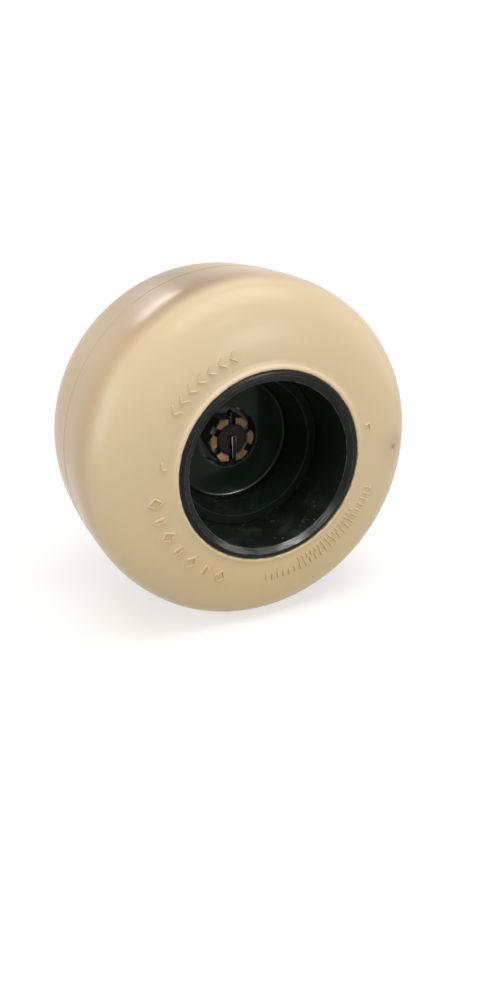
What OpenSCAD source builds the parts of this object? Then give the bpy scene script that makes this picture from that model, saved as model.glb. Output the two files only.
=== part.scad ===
// Solid tyre wheel: a rubber tyre bonded to a steel band, pressed on a cast wheel centre,
// which turns on two tapered roller bearings on a stub axle.
// The wheel turns about the Y axis, its near face is towards -Y, and the origin is at the wheel's centre.

/* [Tyre] */
// Outside diameter of the tyre
tyre_d = 266.7; // [250:0.1:300]
// Width of the steel band, and of the tyre over its beads
wheel_w = 152.4; // [146:0.1:170]
// How far the side walls lie inside the beads
wall_setback = 0.8; // [0.3:0.1:3]
// Squareness of the rubber's section, where 2 is an ellipse
section_power = 4.47; // [3:0.01:6]
// Radius at which the rubber's section would be widest
section_root_r = 30; // [10:1:60]
// Radial width of the rounded crest of a bead
bead_crest_w = 2.2; // [1:0.1:4]
// Radial width of the slope from a bead's crest to the side wall
bead_slope_w = 6; // [3:0.1:12]
// How far the rubber's inner edge lies below a bead's crest
bead_edge_drop = 1.1; // [0.3:0.1:2]
// Height of the mould line round the tread
mould_line_h = 0.3; // [0.1:0.05:1]
// Width of the mould line at its foot
mould_line_w = 1.6; // [0.8:0.1:4]
// Width of the mould line at its top
mould_line_top_w = 0.4; // [0.2:0.1:0.7]

/* [Steel band] */
// Bore of the band
band_bore_d = 127; // [122:0.1:132]
// Wall of the band
band_wall = 7.94; // [6:0.01:10]
// Radial width of the lead-in bevel at each end of the bore
lead_in_w = 4.3; // [1:0.1:5]
// Axial length of the lead-in bevel
lead_in_l = 2.6; // [0.5:0.1:6]
// Axial length of the rounded outer edge at each end
band_round_l = 1.3; // [0.4:0.1:3]

/* [Wheel centre] */
// Depth of the rim's near end, below the wheel's near face
rim_setback = 49.1; // [40:0.1:52]
// Depth of the rim's far end, below the wheel's far face
far_setback = 1.7; // [0.5:0.1:8]
// Wall of the rim at its ends
rim_wall = 7.6; // [5:0.1:10]
// Slope of the rim's inside wall, near side
near_draft = 10.3; // [5:0.1:13]
// Slope of the rim's inside wall, far side
far_draft = 4; // [1:0.1:6]
// Length of the hub, from its near face, the floor of the dish, to the rim's far end
hub_l = 71.5; // [67:0.1:78]
// Thickness of the web
web_t = 14; // [10:0.1:18]
// Radius of the fillets where the web meets the rim and the boss
web_fillet_r = 5.5; // [2:0.1:5.8]
// Radius of the fillet round the floor of the dish
dish_fillet_r = 2.5; // [1.5:0.1:5]
// Wall of the boss outside the grease seal
boss_wall = 5; // [3:0.1:7]
// Slope of the boss's outside
boss_draft = 2.5; // [0:0.1:4]
// Bore of the shoulder behind the outer cup
outer_shoulder_d = 43; // [42:0.1:46]
// Bore of the shoulder behind the inner cup
inner_shoulder_d = 52; // [50.5:0.1:54]
// Chamfer on the rim's and the boss's machined edges
casting_chamfer = 0.8; // [0.2:0.1:1.5]

/* [Outer bearing] */
// Bore of the cone
outer_bore_d = 26.987; // [26.2:0.001:28]
// Mean wall of its two rings, beside the rollers' middles
outer_ring_wall = 2.726; // [2.6:0.001:3.1]
// Width over both rings
outer_width = 14.224; // [13.5:0.001:15]
// Width of the cone
outer_cone_w = 14.732; // [14:0.001:15.5]
// Width of the cup
outer_cup_w = 10.668; // [10:0.001:11.5]
// Mean diameter of a roller
outer_roller_d = 6.2; // [5.6:0.1:6.5]
// Length of a roller
outer_roller_l = 10; // [9:0.1:10.3]

/* [Inner bearing] */
// Bore of the cone
inner_bore_d = 34.988; // [34:0.001:36]
// Mean wall of its two rings, beside the rollers' middles
inner_ring_wall = 2.936; // [2.7:0.001:3.3]
// Width over both rings
inner_width = 15.875; // [15.2:0.001:16.5]
// Width of the cone
inner_cone_w = 16.764; // [16:0.001:17.5]
// Width of the cup
inner_cup_w = 11.938; // [11:0.001:12.5]
// Mean diameter of a roller
inner_roller_d = 6.2; // [5.6:0.1:6.4]
// Length of a roller
inner_roller_l = 11; // [10:0.1:11.5]

/* [Both bearings] */
// Slope of the rollers' axes to the wheel's axis
roller_tilt = 13; // [11:0.1:15]
// Running gap between a roller and anything beside it
roller_gap = 0.15; // [0.1:0.01:0.2]
// Thickness of the cage's sheet
cage_t = 0.8; // [0.6:0.1:1]
// Height of the cage's sheet over the rollers' axes
cage_lift = 1.1; // [0.8:0.1:1.4]
// Width of the cage's sheet past its windows
cage_rim_w = 1.2; // [0.9:0.1:1.5]
// Width of a cage bar, at its narrower end
cage_bar_w = 1.3; // [1:0.1:3]
// Height of the rib that carries the rollers' large ends
large_rib_h = 2; // [1:0.1:2.5]
// Height of the rib that keeps the rollers' small ends
small_rib_h = 0.8; // [0.4:0.1:1.2]
// Chamfer on the rings' outside edges
ring_chamfer = 0.6; // [0.2:0.1:1]

/* [Grease seal] */
// How much further out the seal's seat lies than the inner cup's
seal_step = 2.98; // [2:0.01:4]
// Width of the seal
seal_w = 9.5; // [8:0.1:10]
// Gap between the seal's seat and the inner bearing
seal_gap = 2.6; // [1.5:0.1:4]
// Sheet of the seal's steel case
seal_case_t = 1.2; // [0.8:0.1:1.6]
// Radial width of the rubber inside the case's eye
seal_rubber_w = 4.566; // [3.8:0.001:6]
// Thickness of the rubber lip
lip_t = 1.2; // [0.9:0.1:1.4]
// Distance of the lip's sealing edge from the seal's inner end
lip_inset = 3.2; // [2.6:0.1:4]
// Diameter of the garter spring's coil
garter_d = 1.6; // [1.2:0.1:2]
// Slack of the garter spring in its groove
garter_slack = 0.05; // [0.03:0.01:0.1]
// Running gap of the lip on the axle
lip_gap = 0.15; // [0.1:0.01:0.3]

/* [Stub axle] */
// Diameter of the threaded end
thread_d = 25.4; // [24:0.001:26]
// Diameter of the land that the seal runs on
seal_land_d = 43.66; // [42:0.01:44]
// Diameter of the shank
shank_d = 44.45; // [44.2:0.01:48]
// Reach of the shank past the wheel's far face
shank_reach = 50.8; // [30:0.1:80]
// Gap between the wheel's far face and the shank's step
shank_step_gap = 2; // [0.5:0.1:5]
// Chamfer on the ends of the axle
axle_chamfer = 1; // [0.5:0.1:2]
// How far the steps of the cones' seats stand back from the cones' faces
step_relief = 0.5; // [0.3:0.1:0.8]
// Radial slack of the cones on their seats
seat_slack = 0.02; // [0.01:0.01:0.05]
// How far the axle's end lies below the nut's top
end_drop = 0.6; // [0.3:0.1:1.5]

/* [Castle nut] */
// Width of the nut across its flats
nut_af = 34.93; // [34:0.01:38]
// Height of the nut
nut_h = 19.05; // [17:0.01:22]
// Depth of the slots
slot_depth = 6.6; // [6.3:0.1:8]
// Width of the slots
slot_w = 6.4; // [5.6:0.1:7]
// Radial width of the countersink at the nut's top
nut_sink_w = 1; // [0.4:0.1:1.6]
// Height of the chamfer on the nut's top corners
nut_chamfer = 1.2; // [0.4:0.1:2]
// Slope of that chamfer to the nut's top
nut_chamfer_slope = 32; // [28:1:40]
// Chamfer on the nut's base corners
nut_base_chamfer = 0.9; // [0.3:0.1:1.5]
// Radial slack of the nut on the thread
thread_slack = 0.05; // [0.02:0.01:0.1]

/* [Washer] */
// Radial gap between the washer and the hub's bore
washer_gap = 1.35; // [0.8:0.05:3]
// Thickness of the washer
washer_t = 3.175; // [2.5:0.001:4]
// Radial slack of the washer on the thread
washer_slack = 0.3; // [0.1:0.05:0.5]
// Edge chamfer of the washer
washer_chamfer = 0.4; // [0.1:0.1:0.8]

/* [Split pin] */
// Diameter of the split pin
pin_d = 3.97; // [3.5:0.01:4]
// Radial slack of the split pin in its hole and over the slots' floors
pin_slack = 0.2; // [0.15:0.01:0.3]
// Turn of the split pin about its own axis
pin_turn = 10; // [0:1:12]
// Lean of the leg that is bent over the axle's end
leg_lean = 2.5; // [0:0.5:4]
// Height of that leg's tip over the axle's centre
leg_tip_z = 3.5; // [0:0.1:6]
// Reach of the straight leg past the nut's flat
leg_past_nut = 5.3; // [3.2:0.1:8]
// Bend of the straight leg's end
leg_bend = 25; // [10:1:40]
// Inside radius of the eye
eye_r = 1.3; // [1.1:0.1:1.8]
// Gap between the bent leg and the axle's end
leg_gap = 0.75; // [0.6:0.05:1]
// Height of the split pin over the floor of the dish
pin_lift = 0.5; // [0.3:0.1:2]

/* [Hidden] */

// Smoothness of round faces
$fn = 96;
small_fn = 32;
// Steps of a quarter of the rubber's section, of a fillet and of a small rounded edge
section_steps = 30;
fillet_steps = 8;
edge_steps = 4;
// How far a cutter passes the face that it cuts
cut = 1;

// Stations along the axis of the wheel
face_y = wheel_w / 2;
rim_near_y = -face_y + rim_setback;
rim_far_y = face_y - far_setback;
hub_face_y = rim_far_y - hub_l;
web_far_y = hub_face_y + web_t;
seal_seat_y = rim_far_y - seal_w;
inner_end_y = seal_seat_y - seal_gap;
inner_back_y = inner_end_y - inner_width;
pin_y = hub_face_y - pin_lift - pin_d / 2;
nut_top_y = pin_y + pin_d / 2 + pin_slack - slot_depth;
nut_base_y = nut_top_y + nut_h;
outer_end_y = nut_base_y + washer_t;
outer_back_y = outer_end_y + outer_width;
axle_end_y = nut_top_y + end_drop;
shank_step_y = face_y + shank_step_gap;
shank_end_y = face_y + shank_reach;

// Radii
tyre_r = tyre_d / 2;
bore_r = band_bore_d / 2;
band_r = bore_r + band_wall;
thread_r = thread_d / 2;
rim_inside_r = bore_r - rim_wall;

// The split pin lies in the slots, clear of their floors by the slack of its hole
pin_r = pin_d / 2;
// Radius of the hairpin bend that takes the leg over the axle's end
hairpin_r = (pin_y - axle_end_y + pin_r + leg_gap) / (2 * cos(pin_turn));
hairpin_z = thread_r + leg_gap;
// The straight leg bends outside the nut, and so does the eye's ring
leg_bend_z = nut_af / 2 + leg_gap;
leg_bend_r = pin_d;
eye_z = nut_af / 2 + sqrt(pow(eye_r + pin_r, 2) - pow(pin_r + pin_slack, 2)) + leg_gap;

// A bearing is [bore, ring wall, width, cone width, cup width, roller diameter, roller length]
OUTER = [outer_bore_d, outer_ring_wall, outer_width, outer_cone_w, outer_cup_w,
         outer_roller_d, outer_roller_l];
INNER = [inner_bore_d, inner_ring_wall, inner_width, inner_cone_w, inner_cup_w,
         inner_roller_d, inner_roller_l];
function bore_d(b) = b[0];
function ring_wall(b) = b[1];
function width(b) = b[2];
function cone_w(b) = b[3];
function cup_w(b) = b[4];
function roller_d(b) = b[5];
function roller_l(b) = b[6];

// A bearing's axis is Z here, from its cup's back face at 0 to its cone's back face at its width.
// The rollers' axes and both raceways meet at one point of the bearing's axis, so the rollers roll truly.
function pitch_r(b) = bore_d(b) / 2 + ring_wall(b) + roller_d(b) / 2;
function cup_r(b) = pitch_r(b) + roller_d(b) / 2 + ring_wall(b);
function middle_z(b) = (width(b) - roller_d(b) / 2 * sin(roller_tilt)) / 2;
function roller_taper(b) = atan(roller_d(b) / 2 * sin(roller_tilt) / pitch_r(b));
function roller_r(b, s) = roller_d(b) / 2 + s * tan(roller_taper(b));
// The point [radius, height] at s along a roller's axis from its middle, and h outward from that axis
function at(b, s, h) = [pitch_r(b) + s * sin(roller_tilt) + h * cos(roller_tilt),
                        middle_z(b) + s * cos(roller_tilt) - h * sin(roller_tilt)];
function half_l(b) = roller_l(b) / 2 + roller_gap;
// Radius of the cup's raceway at height z
function raceway_r(b, z) = let(p = at(b, 0, roller_r(b, 0) + roller_gap))
    p[0] + (z - p[1]) * tan(roller_tilt + roller_taper(b));
// Half the width of a roller at the height of the cage's sheet
function chord(b, s) = sqrt(pow(roller_r(b, s), 2) - pow(cage_lift, 2));
function roller_count(b) = floor(2 * PI * (at(b, -half_l(b), cage_lift)[0])
                                 / (2 * (chord(b, -half_l(b)) + roller_gap) + cage_bar_w));

// Radii of the grease seal and the boss round it, from the inner cup's
case_r = cup_r(INNER) + seal_step;
boss_end_r = case_r + boss_wall;
lip_r = seal_land_d / 2 + lip_gap;
case_eye_r = lip_r + seal_rubber_w;
garter_r = lip_r + lip_t + garter_d / 2 + garter_slack;
lip_y = seal_seat_y + lip_inset;

// Points of an arc, as [radius, height]
function arc(c, r, from, to, steps) =
    [for (i = [0:steps]) let(a = from + (to - from) * i / steps) [c[0] + r * cos(a), c[1] + r * sin(a)]];

// Half the width of the rubber's section is reached by this superellipse, from angle a to the tread at 90
wall_y = face_y - wall_setback;
function section_point(a) = [section_root_r + (tyre_r - section_root_r) * pow(sin(a), 2 / section_power),
                             wall_y * pow(cos(a), 2 / section_power)];
function section_angle(r) = asin(pow((r - section_root_r) / (tyre_r - section_root_r), section_power / 2));
// A bead's crest, its slope down to the side wall, and the angle at which the side wall starts
bead_crest_r = band_r + bead_crest_w;
foot_angle = section_angle(bead_crest_r + bead_slope_w);
foot_y = section_point(foot_angle)[1];
function crest_point(a) = [bead_crest_r - bead_crest_w * cos(a), face_y - bead_edge_drop * (1 - sin(a))];
function slope_point(t) = [bead_crest_r + bead_slope_w * t, foot_y + (face_y - foot_y) * pow(1 - t, 2)];
// One side of the rubber, from its inner edge over the bead and the side wall to the tread
function wall_half() = concat(
    [for (i = [0:edge_steps]) crest_point(90 * i / edge_steps)],
    [for (i = [1:edge_steps - 1]) slope_point(i / edge_steps)],
    [for (i = [0:section_steps - 1]) section_point(foot_angle + (90 - foot_angle) * i / section_steps)]);
function flipped(points) = [for (i = [len(points) - 1:-1:0]) [points[i][0], -points[i][1]]];

// A solid of revolution about the wheel's axis, from [radius, y] points
module turned(points) {
    rotate([-90, 0, 0]) rotate_extrude() polygon(points);
}

module place_outer() {
    translate([0, outer_back_y, 0]) rotate([90, 0, 0]) children();
}

module place_inner() {
    translate([0, inner_back_y, 0]) rotate([-90, 0, 0]) children();
}

module tyre() {
    half = concat(wall_half(), [[tyre_r, mould_line_w / 2], [tyre_r + mould_line_h, mould_line_top_w / 2]]);
    color([0.80, 0.71, 0.53]) turned(concat(half, flipped(half)));
}

module base_band() {
    crest_r = bore_r + lead_in_w;
    round_w = band_r - crest_r;
    half = concat([[bore_r, face_y - lead_in_l]],
                  [for (i = [edge_steps:-1:0]) let(a = 90 * i / edge_steps)
                      [crest_r + round_w * cos(a), face_y - band_round_l * (1 - sin(a))]]);
    color([0.13, 0.13, 0.14]) turned(concat(half, flipped(half)));
}

// The cast wheel: a rim, a web and a boss in one piece
module wheel_centre() {
    dish_fillet_y = hub_face_y - dish_fillet_r;
    dish_r = rim_inside_r - (dish_fillet_y - rim_near_y) * tan(near_draft);
    // The far fillets are no wider than the space between the boss and the rim
    function rim_r(y) = rim_inside_r - (rim_far_y - y) * tan(far_draft);
    function boss_r(y) = boss_end_r + (rim_far_y - y) * tan(boss_draft);
    fillet_r = min(web_fillet_r, (rim_r(web_far_y) - boss_r(web_far_y)) / 2);
    fillet_y = web_far_y + fillet_r;
    // The hub's bore steps in to a shoulder behind each cup, and narrows between them
    outer_r = cup_r(OUTER);
    inner_r = cup_r(INNER);
    land_l = (inner_back_y - outer_back_y) / 3;
    c = casting_chamfer;
    profile = concat(
        [[bore_r - c, rim_near_y], [bore_r, rim_near_y + c]],
        [[bore_r, rim_far_y - c], [bore_r - c, rim_far_y], [rim_inside_r, rim_far_y]],
        arc([rim_r(fillet_y) - fillet_r, fillet_y], fillet_r, 0, -90, fillet_steps),
        arc([boss_r(fillet_y) + fillet_r, fillet_y], fillet_r, 270, 180, fillet_steps),
        [[boss_end_r, rim_far_y - c], [boss_end_r - c, rim_far_y]],
        [[case_r, rim_far_y], [case_r, seal_seat_y], [inner_r, seal_seat_y], [inner_r, inner_back_y]],
        [[inner_shoulder_d / 2, inner_back_y], [inner_shoulder_d / 2, inner_back_y - land_l]],
        [[outer_shoulder_d / 2, outer_back_y + land_l], [outer_shoulder_d / 2, outer_back_y]],
        [[outer_r, outer_back_y], [outer_r, hub_face_y + c], [outer_r + c, hub_face_y]],
        arc([dish_r - dish_fillet_r, dish_fillet_y], dish_fillet_r, 90, 0, fillet_steps),
        [[rim_inside_r, rim_near_y]]);
    color([0.10, 0.11, 0.11]) turned(profile);
}

module bearing_cup(b) {
    r = cup_r(b);
    rotate_extrude() polygon([
        [raceway_r(b, 0), 0], [r - ring_chamfer, 0], [r, ring_chamfer],
        [r, cup_w(b) - ring_chamfer], [r - ring_chamfer, cup_w(b)], [raceway_r(b, cup_w(b)), cup_w(b)]]);
}

module bearing_cone(b) {
    e = half_l(b);
    small = roller_r(b, -e);
    large = roller_r(b, e);
    small_rib = at(b, -e, -small + small_rib_h);
    large_rib = at(b, e, -large + large_rib_h);
    front_z = width(b) - cone_w(b);
    rotate_extrude() polygon([
        [bore_d(b) / 2, front_z], [small_rib[0], front_z], small_rib,
        at(b, -e, -small - roller_gap), at(b, e, -large - roller_gap), large_rib,
        [large_rib[0], width(b) - ring_chamfer], [large_rib[0] - ring_chamfer, width(b)],
        [bore_d(b) / 2, width(b)]]);
}

module bearing_rollers(b) {
    for (i = [0:roller_count(b) - 1])
        rotate([0, 0, i * 360 / roller_count(b)]) translate([pitch_r(b), 0, middle_z(b)])
            rotate([0, roller_tilt, 0])
                cylinder(h = roller_l(b), r1 = roller_r(b, -roller_l(b) / 2),
                         r2 = roller_r(b, roller_l(b) / 2), center = true, $fn = small_fn);
}

// The cage is a conical sheet with a window for each roller, its small end turned in
module bearing_cage(b) {
    e = half_l(b) + roller_gap;
    s0 = -e - cage_rim_w;
    s1 = e + cage_rim_w;
    difference() {
        rotate_extrude() polygon([
            at(b, s0, cage_lift + cage_t), at(b, s0, -cage_t), at(b, s0 + cage_t, -cage_t),
            at(b, s0 + cage_t, cage_lift), at(b, s1, cage_lift), at(b, s1, cage_lift + cage_t)]);
        for (i = [0:roller_count(b) - 1])
            rotate([0, 0, i * 360 / roller_count(b)]) translate([pitch_r(b), 0, middle_z(b)])
                rotate([0, roller_tilt, 0]) cage_window(b, e);
    }
}

module cage_window(b, e) {
    w0 = chord(b, -e) + roller_gap;
    w1 = chord(b, e) + roller_gap;
    rotate([90, 0, 90]) linear_extrude(height = roller_d(b))
        polygon([[-w0, -e], [w0, -e], [w1, e], [-w1, e]]);
}

module outer_cup() {
    color([0.62, 0.63, 0.65]) place_outer() bearing_cup(OUTER);
}

module inner_cup() {
    color([0.62, 0.63, 0.65]) place_inner() bearing_cup(INNER);
}

module outer_cone() {
    color([0.58, 0.59, 0.61]) place_outer() bearing_cone(OUTER);
}

module inner_cone() {
    color([0.58, 0.59, 0.61]) place_inner() bearing_cone(INNER);
}

module outer_rollers() {
    color([0.75, 0.76, 0.78]) place_outer() bearing_rollers(OUTER);
}

module inner_rollers() {
    color([0.75, 0.76, 0.78]) place_inner() bearing_rollers(INNER);
}

module outer_cage() {
    color([0.45, 0.40, 0.32]) place_outer() bearing_cage(OUTER);
}

module inner_cage() {
    color([0.45, 0.40, 0.32]) place_inner() bearing_cage(INNER);
}

module seal_case() {
    t = seal_case_t;
    color([0.35, 0.35, 0.36]) turned([
        [case_r, seal_seat_y], [case_r, rim_far_y], [case_eye_r, rim_far_y], [case_eye_r, rim_far_y - t],
        [case_r - t, rim_far_y - t], [case_r - t, seal_seat_y]]);
}

// The rubber lip is bonded to the eye of the case, and carries the garter spring in a groove
module seal_lip() {
    t = lip_t;
    bond_y = rim_far_y - seal_case_t - t;
    color([0.08, 0.08, 0.08]) difference() {
        turned([
            [case_eye_r, rim_far_y], [case_eye_r - t, rim_far_y - t], [garter_r, bond_y],
            [lip_r + t, lip_y + garter_d], [lip_r, lip_y], [lip_r + t / 2, seal_seat_y],
            [garter_r, seal_seat_y], [garter_r, lip_y + garter_d],
            [case_eye_r, bond_y]]);
        garter(garter_d / 2 + garter_slack);
    }
}

module garter(r) {
    translate([0, lip_y, 0]) rotate([-90, 0, 0])
        rotate_extrude() translate([garter_r, 0]) circle(r, $fn = small_fn);
}

module garter_spring() {
    color([0.70, 0.70, 0.72]) garter(garter_d / 2);
}

module stub_axle() {
    c = axle_chamfer;
    outer_seat_r = outer_bore_d / 2 - seat_slack;
    inner_seat_r = inner_bore_d / 2 - seat_slack;
    outer_front_y = outer_end_y + outer_cone_w;
    inner_front_y = inner_end_y - inner_cone_w;
    color([0.30, 0.28, 0.25]) difference() {
        turned([
            [0, axle_end_y], [thread_r - c, axle_end_y], [thread_r, axle_end_y + c],
            [thread_r, outer_end_y + step_relief], [outer_seat_r, outer_end_y + step_relief],
            [outer_seat_r, outer_front_y + step_relief],
            [inner_seat_r, inner_front_y - step_relief], [inner_seat_r, inner_end_y],
            [seal_land_d / 2 - c, inner_end_y], [seal_land_d / 2, inner_end_y + c],
            [seal_land_d / 2, shank_step_y], [shank_d / 2, shank_step_y + step_relief],
            [shank_d / 2, shank_end_y - c], [shank_d / 2 - c, shank_end_y], [0, shank_end_y]]);
        translate([0, pin_y, 0])
            cylinder(h = 2 * (thread_r + cut), r = pin_r + pin_slack, center = true, $fn = small_fn);
    }
}

module spindle_washer() {
    c = washer_chamfer;
    inner_r = thread_r + washer_slack;
    outer_r = cup_r(OUTER) - washer_gap;
    color([0.25, 0.25, 0.26]) turned([
        [inner_r, nut_base_y], [outer_r - c, nut_base_y], [outer_r, nut_base_y + c],
        [outer_r, outer_end_y - c], [outer_r - c, outer_end_y], [inner_r, outer_end_y]]);
}

// A hexagon nut with slots across its flats at the top
module castle_nut() {
    corner_r = nut_af / 2 / cos(30);
    top_r = corner_r - nut_chamfer / tan(nut_chamfer_slope);
    base_r = corner_r - nut_base_chamfer;
    nut_bore_r = thread_r + thread_slack;
    color([0.72, 0.58, 0.36]) difference() {
        intersection() {
            translate([0, nut_base_y, 0]) rotate([90, 0, 0]) cylinder(h = nut_h, r = corner_r, $fn = 6);
            turned([
                [0, nut_top_y], [top_r, nut_top_y], [corner_r, nut_top_y + nut_chamfer],
                [corner_r, nut_base_y - nut_base_chamfer], [base_r, nut_base_y], [0, nut_base_y]]);
        }
        turned([
            [0, nut_top_y - cut], [nut_bore_r + nut_sink_w + cut, nut_top_y - cut],
            [nut_bore_r, nut_top_y + nut_sink_w], [nut_bore_r, nut_base_y + cut], [0, nut_base_y + cut]]);
        for (a = [30, 90, 150])
            rotate([0, a, 0]) translate([-corner_r - cut, nut_top_y - cut, -slot_w / 2])
                cube([2 * (corner_r + cut), slot_depth + cut, slot_w]);
    }
}

// Half of a round wire, its flat towards +Y
module half_round() {
    intersection() {
        circle(pin_r, $fn = small_fn);
        translate([-pin_r, -pin_r]) square([2 * pin_r, pin_r]);
    }
}

// A bend of half-round wire about an axis along X, r from the flat to that axis.
// Its flat faces away from the axis, it starts at angle from below and turns through sweep.
module wire_bend(r, from, sweep) {
    rotate([0, 90, 0]) rotate([0, 0, from]) rotate_extrude(angle = sweep)
        translate([r, 0]) rotate(-90) half_round();
}

module split_pin() {
    color([0.55, 0.55, 0.56]) translate([0, pin_y, 0]) rotate([0, 0, pin_turn]) {
        // Both halves together, through the cross hole up to the eye
        translate([0, 0, -hairpin_z]) cylinder(h = hairpin_z + eye_z - eye_r - pin_r / 2, r = pin_r,
                                            $fn = small_fn);
        translate([0, 0, eye_z]) rotate([0, 90, 0])
            rotate_extrude() translate([eye_r, 0]) rotate(90) half_round();
        // The near leg, turned back over the axle's end
        translate([0, -hairpin_r, -hairpin_z]) wire_bend(hairpin_r, -90, 180);
        translate([0, -2 * hairpin_r, -hairpin_z]) rotate([0, -leg_lean, 0])
            linear_extrude(height = hairpin_z + leg_tip_z) rotate(180) half_round();
        // The far leg, straight through the slot and bent outside the nut
        translate([0, 0, -leg_bend_z])
            linear_extrude(height = leg_bend_z - hairpin_z) rotate(180) half_round();
        translate([0, leg_bend_r, -leg_bend_z]) rotate([0, 0, 180]) far_bend();
    }
}

module far_bend() {
    tail = leg_past_nut - leg_gap - leg_bend_r * sin(leg_bend);
    wire_bend(leg_bend_r, 90 - leg_bend, leg_bend);
    rotate([-leg_bend, 0, 0]) translate([0, leg_bend_r, -tail]) linear_extrude(height = tail) half_round();
}

tyre();
base_band();
wheel_centre();
outer_cup();
inner_cup();
seal_case();
seal_lip();
garter_spring();
stub_axle();
outer_cone();
inner_cone();
spindle_washer();
castle_nut();
split_pin();
outer_cage();
outer_rollers();
inner_cage();
inner_rollers();
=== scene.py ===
# Solid tyre wheel: fine shapes, finishes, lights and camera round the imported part.
import math

import bpy
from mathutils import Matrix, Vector, noise


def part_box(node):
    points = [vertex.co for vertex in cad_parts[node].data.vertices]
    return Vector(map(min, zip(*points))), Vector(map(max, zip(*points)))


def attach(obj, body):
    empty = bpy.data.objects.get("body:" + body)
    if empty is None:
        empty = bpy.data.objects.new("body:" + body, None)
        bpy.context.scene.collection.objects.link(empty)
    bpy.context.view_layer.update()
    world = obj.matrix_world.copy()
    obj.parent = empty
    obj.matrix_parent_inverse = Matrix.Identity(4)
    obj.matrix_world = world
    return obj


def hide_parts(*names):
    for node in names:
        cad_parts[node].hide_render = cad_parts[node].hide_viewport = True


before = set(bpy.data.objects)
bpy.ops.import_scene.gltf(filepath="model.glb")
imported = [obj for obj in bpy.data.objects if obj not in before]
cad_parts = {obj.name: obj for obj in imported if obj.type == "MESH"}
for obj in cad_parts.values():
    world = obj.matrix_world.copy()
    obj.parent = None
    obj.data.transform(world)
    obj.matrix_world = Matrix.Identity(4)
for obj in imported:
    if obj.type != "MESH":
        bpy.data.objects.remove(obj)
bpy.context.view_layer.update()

MM = 0.001


def radii(node):
    """The least and greatest distance of a solid's corners from the wheel's axis."""
    spans = [math.hypot(v.co.x, v.co.z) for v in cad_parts[node].data.vertices]
    return min(spans), max(spans)


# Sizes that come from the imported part
BORE_R, BAND_R = radii("base_band")
FACE_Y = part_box("base_band")[1].y
FLOOR_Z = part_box("tyre")[0].z

# The rubber's outline, as in the part's source
MOULD_LINE_H = 0.3 * MM
MOULD_LINE_W = 1.6 * MM
TYRE_R = radii("tyre")[1] - MOULD_LINE_H
WALL_Y = FACE_Y - 0.8 * MM
SECTION_ROOT_R = 30 * MM
SECTION_POWER = 4.47
BEAD_CREST_R = BAND_R + 2.2 * MM
BEAD_FOOT_R = BEAD_CREST_R + 6 * MM
BEAD_EDGE_DROP = 1.1 * MM

# The middle of a shallow dent in the near side wall
DENT_AT = Vector((110 * MM, -69 * MM, -1 * MM))

# How finely the rubber is divided
TURN_STEPS = 384
CREST_STEPS = 8
SLOPE_STEPS = 8
WALL_STEP = 1.0 * MM
TREAD_STEP = 1.45 * MM

# Distances from the axis in millimetres, as the shader groups take them
BORE_MM = BORE_R / MM
BAND_MM = BAND_R / MM
TYRE_MM = TYRE_R / MM
CUP_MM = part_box("outer_cup")[1].x / MM

# Camera: the photograph's viewing angle, and its aim beside and below the wheel's centre
IMAGE_H = 1000
FOCAL_PIXELS = 736.5
CAMERA_TURN = math.radians(-24.75)
CAMERA_RISE = math.radians(23.06)
CAMERA_DISTANCE = 593.24 * MM
AIM_RIGHT = 9.86 * MM
AIM_UP = -49.55 * MM
SENSOR = 36.0


# Shader building

def add(tree, kind, **settings):
    """A new node, with its own settings."""
    made = tree.nodes.new("ShaderNode" + kind)
    for name, value in settings.items():
        setattr(made, name, value)
    return made


def feed(tree, socket, value):
    """Gives a socket a plain value, or the link from another socket."""
    if isinstance(value, bpy.types.NodeSocket):
        tree.links.new(value, socket)
    else:
        socket.default_value = value


def calc(tree, operation, first, second=0.0, clamp=False):
    """One step of arithmetic."""
    made = add(tree, "Math", operation=operation, use_clamp=clamp)
    feed(tree, made.inputs[0], first)
    feed(tree, made.inputs[1], second)
    return made.outputs[0]


def span(tree, value, low, high, out_low=0.0, out_high=1.0):
    """A value moved smoothly from one range to another."""
    made = add(tree, "MapRange", interpolation_type="SMOOTHSTEP")
    for name, given in (("Value", value), ("From Min", low), ("From Max", high),
                        ("To Min", out_low), ("To Max", out_high)):
        feed(tree, made.inputs[name], given)
    return made.outputs["Result"]


def blend_colour(tree, factor, first, second):
    """A mix of two colours."""
    made = add(tree, "Mix", data_type="RGBA")
    feed(tree, made.inputs["Factor"], factor)
    feed(tree, made.inputs["A"], first)
    feed(tree, made.inputs["B"], second)
    return made.outputs["Result"]


def layers(tree, tone, coats):
    """A tone with colours laid over it one after another, given as (mask, share, colour)."""
    for mask, share, colour in coats:
        tone = blend_colour(tree, calc(tree, "MULTIPLY", mask, share), tone, colour)
    return tone


def raised(tree, base, mask, rise):
    """A number that goes up from its base where a mask is."""
    return calc(tree, "ADD", calc(tree, "MULTIPLY", mask, rise), base)


def varied(tree, unevenness, low, high):
    """A number from low to high that follows a noise."""
    return span(tree, unevenness, 0.3, 0.7, low, high)


def place(tree, group, **values):
    """A shader group placed in a material or in another group. An underscore stands for a space."""
    made = add(tree, "Group")
    made.node_tree = group
    for name, value in values.items():
        feed(tree, made.inputs[name.replace("_", " ")], value)
    return made.outputs


def shader_group(name, inputs, outputs):
    """An empty shader group with named sockets."""
    tree = bpy.data.node_groups.new(name, "ShaderNodeTree")
    for label, kind, value in inputs:
        socket = tree.interface.new_socket(label, in_out="INPUT", socket_type="NodeSocket" + kind)
        socket.default_value = value
    for label, kind in outputs:
        tree.interface.new_socket(label, in_out="OUTPUT", socket_type="NodeSocket" + kind)
    given = tree.nodes.new("NodeGroupInput").outputs
    result = tree.nodes.new("NodeGroupOutput").inputs
    return tree, given, result


def here(tree):
    """The point on the piece, in the wheel's own frame."""
    return add(tree, "TexCoord").outputs["Object"]


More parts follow.
